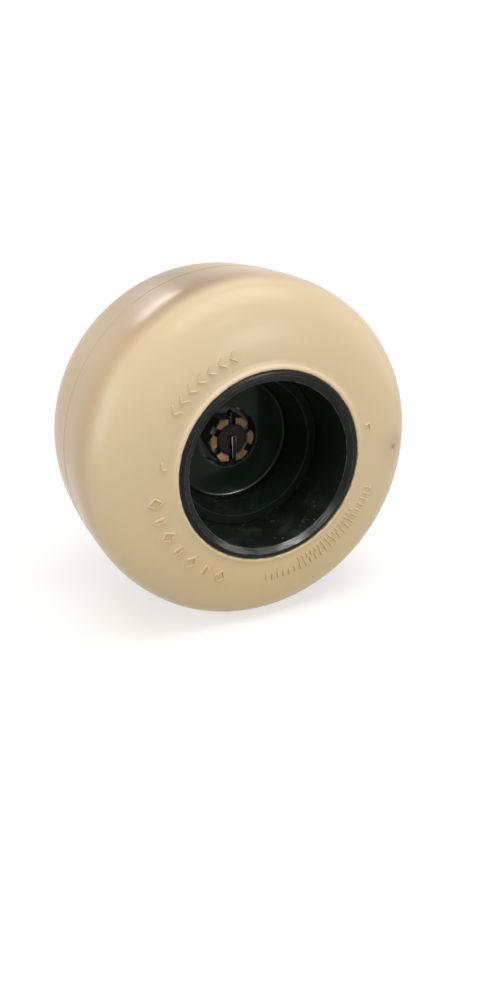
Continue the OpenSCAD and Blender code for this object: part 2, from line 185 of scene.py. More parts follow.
def noise_value(tree, vector, scale, detail=2.0, roughness=0.5):
    """A cloudy noise, mostly from 0.3 to 0.7."""
    made = add(tree, "TexNoise")
    for name, value in (("Vector", vector), ("Scale", scale), ("Detail", detail), ("Roughness", roughness)):
        feed(tree, made.inputs[name], value)
    return made.outputs["Fac"]


def group_wheel_place():
    """Where a point lies on the wheel, in millimetres from the axis and along it, and in turns round it."""
    tree, _, result = shader_group("Wheel place", [], [
        ("Radius", "Float"), ("Along", "Float"), ("Turn", "Float"), ("Unrolled", "Vector")])
    parts = add(tree, "SeparateXYZ")
    feed(tree, parts.inputs[0], here(tree))
    x, y, z = parts.outputs
    squares = calc(tree, "ADD", calc(tree, "MULTIPLY", x, x), calc(tree, "MULTIPLY", z, z))
    radius = calc(tree, "SQRT", squares)
    radius_mm = calc(tree, "DIVIDE", radius, MM)
    along_mm = calc(tree, "DIVIDE", y, MM)
    turn = calc(tree, "DIVIDE", calc(tree, "ARCTAN2", z, x), 2 * math.pi)
    joined = add(tree, "CombineXYZ")
    feed(tree, joined.inputs[0], radius_mm)
    feed(tree, joined.inputs[1], along_mm)
    feed(tree, joined.inputs[2], turn)
    feed(tree, result["Radius"], radius_mm)
    feed(tree, result["Along"], along_mm)
    feed(tree, result["Turn"], turn)
    feed(tree, result["Unrolled"], joined.outputs[0])
    return tree


def group_cloudy_tone():
    """Soft patches of a second colour."""
    tree, given, result = shader_group("Cloudy tone", [
        ("Colour", "Color", (0.8, 0.8, 0.8, 1)), ("Second colour", "Color", (0.5, 0.5, 0.5, 1)),
        ("Scale", "Float", 10.0), ("Amount", "Float", 1.0)], [("Colour", "Color"), ("Mask", "Float")])
    clouds = noise_value(tree, here(tree), given["Scale"], 3.0)
    mask = calc(tree, "MULTIPLY", span(tree, clouds, 0.2, 0.8), given["Amount"])
    feed(tree, result["Colour"], blend_colour(tree, mask, given["Colour"], given["Second colour"]))
    feed(tree, result["Mask"], mask)
    return tree


# How far the noise pulls the specks out of round
SPECK_PULL = 1.5 * MM


def group_specks():
    """Small scattered spots, as dirt in rubber or dust on paint."""
    tree, given, result = shader_group("Specks", [
        ("Scale", "Float", 200.0), ("Size", "Float", 0.2), ("Share", "Float", 0.1)], [("Mask", "Float")])
    warp = add(tree, "TexNoise")
    feed(tree, warp.inputs["Vector"], here(tree))
    feed(tree, warp.inputs["Scale"], calc(tree, "MULTIPLY", given["Scale"], 2.0))
    moved = add(tree, "VectorMath", operation="MULTIPLY_ADD")
    feed(tree, moved.inputs[0], warp.outputs["Color"])
    feed(tree, moved.inputs[1], (SPECK_PULL, SPECK_PULL, SPECK_PULL))
    feed(tree, moved.inputs[2], here(tree))
    cells = add(tree, "TexVoronoi")
    feed(tree, cells.inputs["Vector"], moved.outputs[0])
    feed(tree, cells.inputs["Scale"], given["Scale"])
    chance = add(tree, "SeparateColor")
    feed(tree, chance.inputs[0], cells.outputs["Color"])
    chosen = calc(tree, "LESS_THAN", chance.outputs[0], given["Share"])
    size = calc(tree, "MULTIPLY", given["Size"], chance.outputs[1])
    spot = calc(tree, "SUBTRACT", 1.0, span(tree, cells.outputs["Distance"], 0.0, size))
    feed(tree, result["Mask"], calc(tree, "MULTIPLY", spot, chosen))
    return tree


def group_skin():
    """The fine unevenness of a moulded, cast or painted skin, as a height from 0 to 1."""
    tree, given, result = shader_group("Skin", [
        ("Scale", "Float", 300.0), ("Coarse share", "Float", 0.5)], [("Height", "Float")])
    fine = noise_value(tree, here(tree), given["Scale"], 4.0, 0.6)
    coarse = noise_value(tree, here(tree), calc(tree, "MULTIPLY", given["Scale"], 0.12), 2.0)
    both = add(tree, "Mix", data_type="FLOAT")
    feed(tree, both.inputs["Factor"], given["Coarse share"])
    feed(tree, both.inputs["A"], fine)
    feed(tree, both.inputs["B"], coarse)
    feed(tree, result["Height"], both.outputs["Result"])
    return tree


def group_turning_marks(wheel_place):
    """Fine rings left by a lathe or by rubbing, which run round the axis."""
    tree, given, result = shader_group("Turning marks", [("Scale", "Float", 4.0), ("Length", "Float", 6.0)],
                                       [("Height", "Float")])
    unrolled = place(tree, wheel_place)["Unrolled"]
    stretched = add(tree, "VectorMath", operation="MULTIPLY")
    spread = add(tree, "CombineXYZ")
    feed(tree, spread.inputs[0], given["Scale"])
    feed(tree, spread.inputs[1], given["Scale"])
    feed(tree, spread.inputs[2], given["Length"])
    feed(tree, stretched.inputs[0], unrolled)
    feed(tree, stretched.inputs[1], spread.outputs[0])
    feed(tree, result["Height"], noise_value(tree, stretched.outputs[0], 1.0, 3.0, 0.65))
    return tree


def group_ring_mask(wheel_place):
    """A ring on the wheel between two radii, with ragged edges."""
    tree, given, result = shader_group("Ring mask", [
        ("From", "Float", 60.0), ("To", "Float", 70.0), ("Ragged", "Float", 1.0),
        ("Scale", "Float", 150.0)], [("Mask", "Float")])
    uneven = noise_value(tree, here(tree), given["Scale"], 4.0, 0.7)
    shift = calc(tree, "MULTIPLY", calc(tree, "SUBTRACT", uneven, 0.5), given["Ragged"])
    radius = calc(tree, "ADD", place(tree, wheel_place)["Radius"], shift)
    inside = calc(tree, "GREATER_THAN", radius, given["From"])
    outside = calc(tree, "LESS_THAN", radius, given["To"])
    feed(tree, result["Mask"], calc(tree, "MULTIPLY", inside, outside))
    return tree


def group_edge_wear():
    """Where an outside edge has worn bare."""
    tree, given, result = shader_group("Edge wear", [
        ("Width", "Float", 0.4), ("Amount", "Float", 1.0), ("Scale", "Float", 200.0)], [("Mask", "Float")])
    rounded = add(tree, "Bevel", samples=4)
    feed(tree, rounded.inputs["Radius"], calc(tree, "MULTIPLY", given["Width"], MM))
    turned = add(tree, "VectorMath", operation="DOT_PRODUCT")
    feed(tree, turned.inputs[0], rounded.outputs[0])
    feed(tree, turned.inputs[1], add(tree, "NewGeometry").outputs["Normal"])
    edge = calc(tree, "SUBTRACT", 1.0, turned.outputs["Value"])
    uneven = noise_value(tree, here(tree), given["Scale"], 4.0, 0.7)
    worn = calc(tree, "MULTIPLY", span(tree, edge, 0.01, 0.12), span(tree, uneven, 0.35, 0.6))
    feed(tree, result["Mask"], calc(tree, "MULTIPLY", worn, given["Amount"], clamp=True))
    return tree


def group_settled_dust(specks):
    """Pale dust that has come to lie on what faces up."""
    tree, given, result = shader_group("Settled dust", [
        ("Amount", "Float", 1.0), ("Scale", "Float", 400.0)], [("Mask", "Float")])
    facing = add(tree, "SeparateXYZ")
    feed(tree, facing.inputs[0], add(tree, "TexCoord").outputs["Normal"])
    upward = span(tree, facing.outputs[2], 0.2, 1.0)
    film = calc(tree, "MULTIPLY", span(tree, noise_value(tree, here(tree), 60.0, 4.0), 0.45, 0.8), 0.12)
    grains = place(tree, specks, Scale=given["Scale"], Size=0.45, Share=0.35)["Mask"]
    patches = span(tree, noise_value(tree, here(tree), 35.0, 2.0), 0.42, 0.62)
    dusty = calc(tree, "ADD", film, calc(tree, "MULTIPLY", grains, patches))
    amount = calc(tree, "MULTIPLY", calc(tree, "MULTIPLY", dusty, upward), given["Amount"], clamp=True)
    feed(tree, result["Mask"], amount)
    return tree


def group_arc_mask(wheel_place):
    """One side of a ring, about a middle and out to a spread, in turns from +X by way of +Z."""
    tree, given, result = shader_group("Arc mask", [
        ("Middle", "Float", 0.0), ("Spread", "Float", 0.2)], [("Mask", "Float")])
    away = calc(tree, "SUBTRACT", place(tree, wheel_place)["Turn"], given["Middle"])
    nearest = calc(tree, "ABSOLUTE", calc(tree, "SUBTRACT", away, calc(tree, "ROUND", away)))
    share = calc(tree, "SUBTRACT", 1.0, calc(tree, "DIVIDE", nearest, given["Spread"]), clamp=True)
    feed(tree, result["Mask"], span(tree, share, 0.0, 1.0))
    return tree


def group_darker_inwards(wheel_place):
    """A darker part, from a place along the wheel's axis inwards, with an uneven edge."""
    tree, given, result = shader_group("Darker inwards", [
        ("Start", "Float", 0.0), ("Depth", "Float", 1.5), ("Scale", "Float", 200.0)], [("Mask", "Float")])
    uneven = calc(tree, "SUBTRACT", noise_value(tree, here(tree), given["Scale"], 3.0), 0.5)
    wander = calc(tree, "MULTIPLY", uneven, given["Depth"])
    along = calc(tree, "ADD", place(tree, wheel_place)["Along"], wander)
    end = calc(tree, "ADD", given["Start"], given["Depth"])
    feed(tree, result["Mask"], span(tree, along, given["Start"], end))
    return tree


def group_round_patch():
    """A cloudy round patch about one place, given in metres."""
    tree, given, result = shader_group("Round patch", [
        ("Place", "Vector", (0, 0, 0)), ("Reach", "Float", 0.01),
        ("Scale", "Float", 200.0)], [("Mask", "Float")])
    away = add(tree, "VectorMath", operation="DISTANCE")
    feed(tree, away.inputs[0], here(tree))
    feed(tree, away.inputs[1], given["Place"])
    share = calc(tree, "DIVIDE", away.outputs["Value"], given["Reach"])
    near = calc(tree, "SUBTRACT", 1.0, share, clamp=True)
    clouds = span(tree, noise_value(tree, here(tree), given["Scale"], 4.0, 0.6), 0.2, 0.7, 0.4, 1.0)
    feed(tree, result["Mask"], calc(tree, "MULTIPLY", span(tree, near, 0.0, 1.0), clouds))
    return tree


WHEEL_PLACE = group_wheel_place()
CLOUDY_TONE = group_cloudy_tone()
SPECKS = group_specks()
SKIN = group_skin()
TURNING_MARKS = group_turning_marks(WHEEL_PLACE)
RING_MASK = group_ring_mask(WHEEL_PLACE)
EDGE_WEAR = group_edge_wear()
SETTLED_DUST = group_settled_dust(SPECKS)
DARKER_INWARDS = group_darker_inwards(WHEEL_PLACE)
ARC_MASK = group_arc_mask(WHEEL_PLACE)
ROUND_PATCH = group_round_patch()


def new_finish(name):
    """A new material with one Principled shader."""
    material = bpy.data.materials.new(name)
    material.use_nodes = True
    tree = material.node_tree
    tree.nodes.clear()
    shader = add(tree, "BsdfPrincipled")
    feed(tree, add(tree, "OutputMaterial").inputs["Surface"], shader.outputs[0])
    return material, tree, shader.inputs


def bump(tree, height, depth_mm):
    """The normal of a surface with a fine relief."""
    made = add(tree, "Bump")
    feed(tree, made.inputs["Strength"], 1.0)
    feed(tree, made.inputs["Distance"], depth_mm * MM)
    feed(tree, made.inputs["Height"], height)
    return made.outputs[0]


def skin_normal(tree, depth_mm, **values):
    """The normal of a moulded, cast or painted skin."""
    return bump(tree, place(tree, SKIN, **values)["Height"], depth_mm)


def tan_rubber():
    """Moulded beige rubber: a darker tread with painted shade over its top, a painted highlight on the
    bead's crest at the top, the lower side painted yellower for warm bounce light, a little dirt, and
    painted shade in and round one dent.
    """
    material, tree, skin = new_finish("tan_rubber")
    body = (0.65, 0.525, 0.325, 1)
    rosy = (0.675, 0.505, 0.33, 1)
    # painted light: the tint of warm light bounced from below
    warm_bounce_tint = (0.66, 0.50, 0.235, 1)
    # painted highlight colour for the bead's crest
    painted_crest_light = (0.88, 0.71, 0.52, 1)
    trodden = (0.53, 0.375, 0.215, 1)
    # painted shade for the top of the tread
    painted_tread_shade = (0.27, 0.17, 0.08, 1)
    painted_dent_shade = (0.36, 0.28, 0.17, 1)
    # dirt for the specks, and the painted shade in the dent's middle
    dirt = (0.16, 0.11, 0.06, 1)
    stain = (0.20, 0.12, 0.06, 1)
    tread = span(tree, place(tree, WHEEL_PLACE)["Radius"], TYRE_MM - 6, TYRE_MM - 1, 0.0, 0.8)
    tread_top = place(tree, ARC_MASK, Middle=0.31, Spread=0.085)["Mask"]
    crest = place(tree, RING_MASK, From=BAND_MM + 0.6, To=BAND_MM + 4.2, Ragged=0.8, Scale=60.0)["Mask"]
    bead_edge = place(tree, RING_MASK, From=BAND_MM - 1, To=BAND_MM + 0.6, Ragged=2.8, Scale=160.0)["Mask"]
    top_side = place(tree, ARC_MASK, Middle=0.3, Spread=0.3)["Mask"]
    low_side = place(tree, ARC_MASK, Middle=-0.25, Spread=0.3)["Mask"]
    # the dent's painted shade: wide and faint round it, small and dark in its middle
    near_dent = place(tree, ROUND_PATCH, Place=tuple(DENT_AT), Reach=22 * MM, Scale=150.0)["Mask"]
    in_dent = place(tree, ROUND_PATCH, Place=tuple(DENT_AT), Reach=3.5 * MM, Scale=400.0)["Mask"]
    spots = place(tree, SPECKS, Scale=60.0, Size=0.13, Share=0.14)["Mask"]
    tone = place(tree, CLOUDY_TONE, Colour=body, Second_colour=rosy, Scale=7.0, Amount=0.5)["Colour"]
    feed(tree, skin["Base Color"], layers(tree, tone, [
        (tread, 1.0, trodden),
        # painted shade over the top of the tread
        (calc(tree, "MULTIPLY", tread, tread_top), 1.0, painted_tread_shade),
        # painted highlight: the bead's crest paler on the top side only
        (calc(tree, "MULTIPLY", crest, top_side), 0.6, painted_crest_light),
        # painted light: the lower side yellower, for warm light bounced from below
        (low_side, 0.45, warm_bounce_tint),
        # painted shade round the dent, and darker in its middle
        (near_dent, 0.45, painted_dent_shade),
        (in_dent, 0.9, dirt),
        (spots, 0.7, dirt),
        (bead_edge, 0.8, stain)]))
    feed(tree, skin["Roughness"], span(tree, noise_value(tree, here(tree), 14.0), 0.1, 0.9, 0.235, 0.265))
    skin["Specular IOR Level"].default_value = 0.22
    feed(tree, skin["Normal"], skin_normal(tree, 0.12, Scale=900.0, Coarse_share=0.6))
    return material


DUST_COLOUR = (0.30, 0.29, 0.25, 1)

# The fillet round the floor of the dish, and the dish's wall, as distances from the axis in millimetres
DISH_CORNER = (48.0, 52.5)
DISH_WALL = (51.5, 57.0)


def black_casting():
    """Greenish black paint on rough iron, glossy where it ran together in a corner, with dust and grease."""
    material, tree, skin = new_finish("black_cast_paint")
    black = (0.005, 0.012, 0.007, 1)
    greenish = (0.009, 0.015, 0.010, 1)
    wall_black = (0.015, 0.026, 0.018, 1)
    iron = (0.16, 0.155, 0.14, 1)
    grease = (0.060, 0.068, 0.052, 1)
    wall = place(tree, RING_MASK, From=DISH_WALL[0], To=DISH_WALL[1], Ragged=1.0, Scale=40.0)["Mask"]
    worn = place(tree, EDGE_WEAR, Width=0.5, Amount=0.8, Scale=180.0)["Mask"]
    dust = place(tree, SETTLED_DUST, Amount=0.6, Scale=350.0)["Mask"]
    greasy = place(tree, RING_MASK, From=0.0, To=CUP_MM + 0.5, Ragged=0.6, Scale=300.0)["Mask"]
    tone = place(tree, CLOUDY_TONE, Colour=black, Second_colour=greenish, Scale=30.0)["Colour"]
    feed(tree, skin["Base Color"], layers(tree, tone, [
        (wall, 1.0, wall_black),
        (worn, 1.0, iron),
        (dust, 1.0, DUST_COLOUR),
        (greasy, 1.0, grease)]))
    feed(tree, skin["Roughness"], raised(tree, 0.16, dust, 0.5))
    skin["Specular IOR Level"].default_value = 0.05
    corner = place(tree, RING_MASK, From=DISH_CORNER[0], To=DISH_CORNER[1], Ragged=1.0, Scale=200.0)["Mask"]
    low_side = place(tree, ARC_MASK, Middle=-0.26, Spread=0.11)["Mask"]
    glaze = raised(tree, 0.12, calc(tree, "MULTIPLY", corner, low_side), 0.88)
    clean = calc(tree, "SUBTRACT", 1.0, greasy)
    feed(tree, skin["Coat Weight"], calc(tree, "MULTIPLY", clean, glaze))
    skin["Coat Roughness"].default_value = 0.07
    feed(tree, skin["Normal"], skin_normal(tree, 0.10, Scale=450.0, Coarse_share=0.5))
    return material


# Where the lead-in bevel is scuffed bare, set low on the wheel so that it also paints the bevel's highlight,
# as (middle, spread, share), the first two in turns round the wheel
BEVEL_SCUFFS_AND_HIGHLIGHT = [(-0.22, 0.17, 0.17), (-0.205, 0.045, 0.6), (-0.333, 0.055, 0.33), (-0.13, 0.04, 0.14)]


def band_paint():
    """Black paint on steel, scuffed to bare metal on the lower part of the bevel, where the bare metal also
    paints a highlight, with dust.
    """
    material, tree, skin = new_finish("band_paint")
    black = (0.006, 0.008, 0.006, 1)
    second_black = (0.009, 0.010, 0.008, 1)
    bore_black = (0.010, 0.0155, 0.0115, 1)
    bare_steel_and_highlight = (0.5, 0.5, 0.47, 1)
    bevel = place(tree, RING_MASK, From=BORE_MM + 0.3, To=BORE_MM + 4.4, Ragged=2.0, Scale=90.0)["Mask"]
    bore = place(tree, RING_MASK, From=0.0, To=BORE_MM + 0.2, Ragged=0.2, Scale=90.0)["Mask"]
    streaks = span(tree, place(tree, TURNING_MARKS, Scale=2.5, Length=40.0)["Height"], 0.3, 0.65)
    brightened = 0.0
    for middle, spread, share in BEVEL_SCUFFS_AND_HIGHLIGHT:
        brightened = raised(tree, brightened, place(tree, ARC_MASK, Middle=middle, Spread=spread)["Mask"], share)
    # scuffs on the lower bevel only: bare wear, and the bevel's painted highlight
    scuffs_and_highlight = calc(tree, "MULTIPLY", calc(tree, "MULTIPLY", bevel, brightened), streaks)
    worn = place(tree, EDGE_WEAR, Width=0.6, Amount=0.5, Scale=160.0)["Mask"]
    bare = calc(tree, "MAXIMUM", scuffs_and_highlight, worn)
    dust = place(tree, SETTLED_DUST, Amount=0.8, Scale=330.0)["Mask"]
    tone = place(tree, CLOUDY_TONE, Colour=black, Second_colour=second_black, Scale=40.0)["Colour"]
    feed(tree, skin["Base Color"], layers(tree, tone, [
        (bore, 1.0, bore_black),
        (bare, 1.0, bare_steel_and_highlight),
        (dust, 1.0, DUST_COLOUR)]))
    feed(tree, skin["Metallic"], calc(tree, "MULTIPLY", bare, 0.25))
    feed(tree, skin["Roughness"], raised(tree, 0.26, bare, 0.15))
    skin["Specular IOR Level"].default_value = 0.1
    skin["Coat Weight"].default_value = 0.1
    skin["Coat Roughness"].default_value = 0.12
    feed(tree, skin["Normal"], skin_normal(tree, 0.08, Scale=700.0, Coarse_share=0.4))
    return material


def worked_steel(name, colour, second, roughness, metallic=1.0):
    """Turned or pressed steel, bare or thinly coated, with rings of the tool and brighter edges."""
    material, tree, skin = new_finish(name)
    bright = tuple(min(1.0, 1.9 * c + 0.08) for c in colour[:3]) + (1,)
    rings = place(tree, TURNING_MARKS, Scale=4.0, Length=9.0)["Height"]
    worn = place(tree, EDGE_WEAR, Width=0.35, Amount=0.5, Scale=300.0)["Mask"]
    tone = place(tree, CLOUDY_TONE, Colour=colour, Second_colour=second, Scale=90.0)["Colour"]
    feed(tree, skin["Base Color"], blend_colour(tree, worn, tone, bright))
    skin["Metallic"].default_value = metallic
    feed(tree, skin["Roughness"], varied(tree, rings, roughness - 0.06, roughness + 0.08))
    feed(tree, skin["Normal"], bump(tree, rings, 0.03))
    return material


def yellow_zinc():
    """Yellow zinc plate in gold, rose and olive, brighter and rosier on one side and darker below its top.
    """
    material, tree, skin = new_finish("yellow_zinc_plate")
    gold = (0.145, 0.095, 0.035, 1)
    rose = (0.20, 0.085, 0.055, 1)
    olive = (0.12, 0.11, 0.035, 1)
    rubbed_rose = (0.42, 0.21, 0.12, 1)
    bright = (0.34, 0.31, 0.25, 1)
    # the nut's colour below its top
    dirt = (0.08, 0.085, 0.06, 1)
    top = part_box("castle_nut")[0].y / MM
    rings = place(tree, TURNING_MARKS, Scale=5.0, Length=9.0)["Height"]
    brightened = place(tree, ARC_MASK, Middle=-0.36, Spread=0.2)["Mask"]
    worn = place(tree, EDGE_WEAR, Width=0.35, Amount=0.7, Scale=300.0)["Mask"]
    # darker below the nut's top, fading in over a little depth
    darker_below_top = place(tree, DARKER_INWARDS, Start=top + 0.4, Depth=1.4, Scale=260.0)["Mask"]
    tone = place(tree, CLOUDY_TONE, Colour=gold, Second_colour=rose, Scale=170.0)["Colour"]
    tone = place(tree, CLOUDY_TONE, Colour=tone, Second_colour=olive, Scale=110.0)["Colour"]
    feed(tree, skin["Base Color"], layers(tree, tone, [
        (brightened, 0.75, rubbed_rose),
        (worn, 1.0, bright),
        (darker_below_top, 1.0, dirt)]))
    feed(tree, skin["Metallic"], span(tree, darker_below_top, 0.0, 1.0, 0.35, 0.0))
    feed(tree, skin["Roughness"], varied(tree, rings, 0.36, 0.50))
    skin["Specular IOR Level"].default_value = 0.2
    feed(tree, skin["Normal"], bump(tree, rings, 0.03))
    return material


def dark_axle():
    """Turned steel gone dark and dull with oil."""
    material, tree, skin = new_finish("oiled_axle_steel")
    brown = (0.016, 0.0145, 0.0075, 1)
    black = (0.009, 0.008, 0.005, 1)
    bare = (0.10, 0.095, 0.08, 1)
    rings = place(tree, TURNING_MARKS, Scale=5.0, Length=9.0)["Height"]
    worn = place(tree, EDGE_WEAR, Width=0.4, Amount=0.3, Scale=260.0)["Mask"]
    tone = place(tree, CLOUDY_TONE, Colour=brown, Second_colour=black, Scale=120.0)["Colour"]
    feed(tree, skin["Base Color"], blend_colour(tree, worn, tone, bare))
    feed(tree, skin["Roughness"], varied(tree, rings, 0.42, 0.58))
    skin["Specular IOR Level"].default_value = 0.12
    feed(tree, skin["Normal"], bump(tree, rings, 0.04))
    return material


def dull_wire():
    """The split pin's dark wire, with a painted highlight along its near side and bright worn edges."""
    material, tree, skin = new_finish("dull_pin_wire")
    grey = (0.016, 0.016, 0.015, 1)
    black = (0.009, 0.009, 0.008, 1)
    bare = (0.62, 0.62, 0.60, 1)
    near_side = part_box("split_pin")[0].y / MM
    along = place(tree, WHEEL_PLACE)["Along"]
    # painted highlight: a bright strip along the wire's near side
    brightened = span(tree, along, near_side + 0.08, near_side + 0.2, 0.9, 0.0)
    edges = place(tree, EDGE_WEAR, Width=0.7, Amount=1.0, Scale=120.0)["Mask"]
    # the worn edges together with the painted highlight
    worn = calc(tree, "MAXIMUM", edges, brightened)
    tone = place(tree, CLOUDY_TONE, Colour=grey, Second_colour=black, Scale=260.0)["Colour"]
    feed(tree, skin["Base Color"], blend_colour(tree, worn, tone, bare))
    feed(tree, skin["Metallic"], span(tree, worn, 0.0, 1.0, 0.0, 0.9))
    feed(tree, skin["Roughness"], varied(tree, noise_value(tree, here(tree), 400.0), 0.30, 0.42))
    skin["Specular IOR Level"].default_value = 0.15
    feed(tree, skin["Normal"], skin_normal(tree, 0.03, Scale=900.0))
    return material


def soft_black_rubber():
    """The matt rubber of the seal's lip."""
    material, tree, skin = new_finish("seal_lip_rubber")
    black = (0.020, 0.020, 0.020, 1)
    grey = (0.035, 0.034, 0.032, 1)
    tone = place(tree, CLOUDY_TONE, Colour=black, Second_colour=grey, Scale=80.0)["Colour"]
    feed(tree, skin["Base Color"], tone)
    feed(tree, skin["Roughness"], varied(tree, noise_value(tree, here(tree), 60.0), 0.5, 0.65))
    feed(tree, skin["Normal"], skin_normal(tree, 0.05, Scale=900.0))
    return material


# The rubber, round the steel band

def wall_depth(radius):
    """How far along the axis the side wall lies, at a radius."""
    share = (radius - SECTION_ROOT_R) / (TYRE_R - SECTION_ROOT_R)
    return WALL_Y * (1 - share ** SECTION_POWER) ** (1 / SECTION_POWER)


def tread_radius(along):
    """How far from the axis the tread lies, at a distance from the mid plane."""
    share = abs(along) / WALL_Y
    return SECTION_ROOT_R + (TYRE_R - SECTION_ROOT_R) * (1 - share ** SECTION_POWER) ** (1 / SECTION_POWER)


def rubber_half():
    """One half of the rubber's outline, as (radius, y), from its inner edge to the mould line."""
    points = []
    for i in range(CREST_STEPS + 1):
        a = math.pi / 2 * i / CREST_STEPS
        points.append((BEAD_CREST_R - (BEAD_CREST_R - BAND_R) * math.cos(a),
                       FACE_Y - BEAD_EDGE_DROP * (1 - math.sin(a))))
    foot_y = wall_depth(BEAD_FOOT_R)
    for i in range(1, SLOPE_STEPS):
        t = i / SLOPE_STEPS
        points.append((BEAD_CREST_R + (BEAD_FOOT_R - BEAD_CREST_R) * t,
                       foot_y + (FACE_Y - foot_y) * (1 - t) ** 2))
    corner = 0.5 ** (1 / SECTION_POWER)
    corner_r = SECTION_ROOT_R + (TYRE_R - SECTION_ROOT_R) * corner
    corner_y = WALL_Y * corner
    wall_steps = round((corner_r - BEAD_FOOT_R) / WALL_STEP)
    for i in range(wall_steps):
        radius = BEAD_FOOT_R + (corner_r - BEAD_FOOT_R) * i / wall_steps
        points.append((radius, wall_depth(radius)))
    tread_steps = round((corner_y - MOULD_LINE_W / 2) / TREAD_STEP)
    for i in range(tread_steps + 1):
        along = corner_y + (MOULD_LINE_W / 2 - corner_y) * i / tread_steps
        points.append((tread_radius(along), along))
    points.append((TYRE_R + MOULD_LINE_H, MOULD_LINE_W / 8))
    return points


def add_object(name, data):
    """A new object in the scene."""
    made = bpy.data.objects.new(name, data)
    bpy.context.collection.objects.link(made)
    return made


def turned_mesh(name, outline, shaped):
    """A closed solid of revolution about the wheel's axis. shaped moves each point a little."""
    corners = []
    for i in range(TURN_STEPS):
        turn = 2 * math.pi * i / TURN_STEPS
        for radius, along in outline:
            point = Vector((radius * math.cos(turn), along, radius * math.sin(turn)))
            corners.append(shaped(point, radius))
    count = len(outline)
    faces = []
    for i in range(TURN_STEPS):
        j = (i + 1) % TURN_STEPS
        for k in range(count):
            m = (k + 1) % count
            faces.append((i * count + k, i * count + m, j * count + m, j * count + k))
    mesh = bpy.data.meshes.new(name)
    mesh.from_pydata(corners, [], faces)
    mesh.validate()
    return add_object(name, mesh)


def smooth(piece, angle):
    """Round faces shade smoothly, and edges sharper than the angle stay crisp."""
    mesh = piece.data
    mesh.polygons.foreach_set("use_smooth", [True] * len(mesh.polygons))
    mesh.set_sharp_from_angle(angle=math.radians(angle))


DENT_LENGTH = 13 * MM
DENT_WIDTH = 6 * MM
DENT_DEPTH = 1.1 * MM
SWELL = 0.12 * MM
SWELL_SIZE = 45 * MM
SWELL_LEAN = 0.6
TYRE_CREASE = 50


def shaped_rubber(point, radius):
    """The moulded skin isn't quite true: it swells a little here and there, and has one shallow dent."""
    if radius < BEAD_FOOT_R:
        return point
    outward = Vector((point.x, point.y * SWELL_LEAN, point.z)).normalized()
    lift = SWELL * noise.noise(point / SWELL_SIZE, noise_basis="PERLIN_NEW")
    away = point - DENT_AT
    fall = (away.x / DENT_LENGTH) ** 2 + (away.z / DENT_WIDTH) ** 2 + (away.y / DENT_LENGTH) ** 2
    lift -= DENT_DEPTH * math.exp(-fall)
    return point + outward * lift


def build_tyre(material):
    """The rubber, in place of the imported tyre."""
    far = rubber_half()
    near = [(r, -y) for r, y in reversed(far)]
    tyre = turned_mesh("tyre_body", far + near, shaped_rubber)
    tyre.data.materials.append(material)
    smooth(tyre, TYRE_CREASE)
    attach(tyre, "wheel")
    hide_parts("tyre")


# Raised marks on the near side wall, plain shapes only

MARK_W = 1.3 * MM
MARK_H = 1.5 * MM
MARK_SINK = 0.4 * MM
MARK_STEP = 1.2 * MM
MARK_CREASE = 60
# Past each end a stroke goes on by a share of its width, as narrow as that and almost flat
MARK_END_WIDTH = 0.45
MARK_END_HEIGHT = 0.1
# A stroke's section, as (side, up), from one foot over the round top to the other
MARK_SIDES = 6
MARK_FULLNESS = 0.6
MARK_SECTION = [(-math.cos(math.pi * k / MARK_SIDES), math.sin(math.pi * k / MARK_SIDES) ** MARK_FULLNESS)
                for k in range(MARK_SIDES + 1)]
NORMAL_STEP = 0.1 * MM


def wall_point(turn, radius):
    """A point of the near side wall."""
    return Vector((radius * math.cos(turn), -wall_depth(radius), radius * math.sin(turn)))


def wall_normal(turn, radius):
    """The way out of the near side wall at a point."""
    inward = wall_point(turn, radius - NORMAL_STEP)
    outward = wall_point(turn, radius + NORMAL_STEP)
    side = Vector((-math.sin(turn), 0, math.cos(turn)))
    normal = (outward - inward).cross(side).normalized()
    return normal if normal.y < 0 else -normal


def stroke_path(stroke):
    """The points along a stroke in even steps, with one more past each end."""
    path = []
    for k in range(len(stroke) - 1):
        a = Vector(stroke[k])
        b = Vector(stroke[k + 1])
        steps = max(2, round((b - a).length / MARK_STEP))
        path += [a.lerp(b, i / steps) for i in range(steps)]
    path.append(Vector(stroke[-1]))
    lead = (path[1] - path[0]).normalized() * MARK_W * MARK_END_WIDTH
    tail = (path[-1] - path[-2]).normalized() * MARK_W * MARK_END_WIDTH
    return [path[0] - lead] + path + [path[-1] + tail]


def ridge(stroke, turn, radius, corners, faces):
    """Adds one raised stroke, a list of (across, out) points on the wall, round on top and at its ends."""
    path = stroke_path(stroke)
    last = len(path) - 1
    first_corner = len(corners)
    for i, spot in enumerate(path):
        along = (path[min(last, i + 1)] - path[max(0, i - 1)]).normalized()
        across = Vector((-along.y, along.x))
        end = i in (0, last)
        width = MARK_W * (MARK_END_WIDTH if end else 1.0)
        height = MARK_H * (MARK_END_HEIGHT if end else 1.0)
        for k, (side, up) in enumerate(MARK_SECTION):
            flat = spot + across * side * width / 2
            r = radius + flat.y
            t = turn + flat.x / radius
            sink = MARK_SINK if k in (0, MARK_SIDES) else 0
            corners.append(wall_point(t, r) + wall_normal(t, r) * (height * up - sink))
    count = len(MARK_SECTION)
    for i in range(last):
        a = first_corner + i * count
        b = a + count
        for k in range(count):
            m = (k + 1) % count
            faces.append((a + k, a + m, b + m, b + k))
    faces.append(tuple(first_corner + k for k in range(count)))
    faces.append(tuple(first_corner + last * count + k for k in reversed(range(count))))


# Each shape is a list of strokes, about its own middle

def bar(size):
    """One stroke that points outwards."""
    return [[(0, -size / 2), (0, size / 2)]]


def chevron(size):
    """Two strokes that meet in a point."""
    return [[(-size * 0.3, size / 2), (size * 0.3, 0), (-size * 0.3, -size / 2)]]


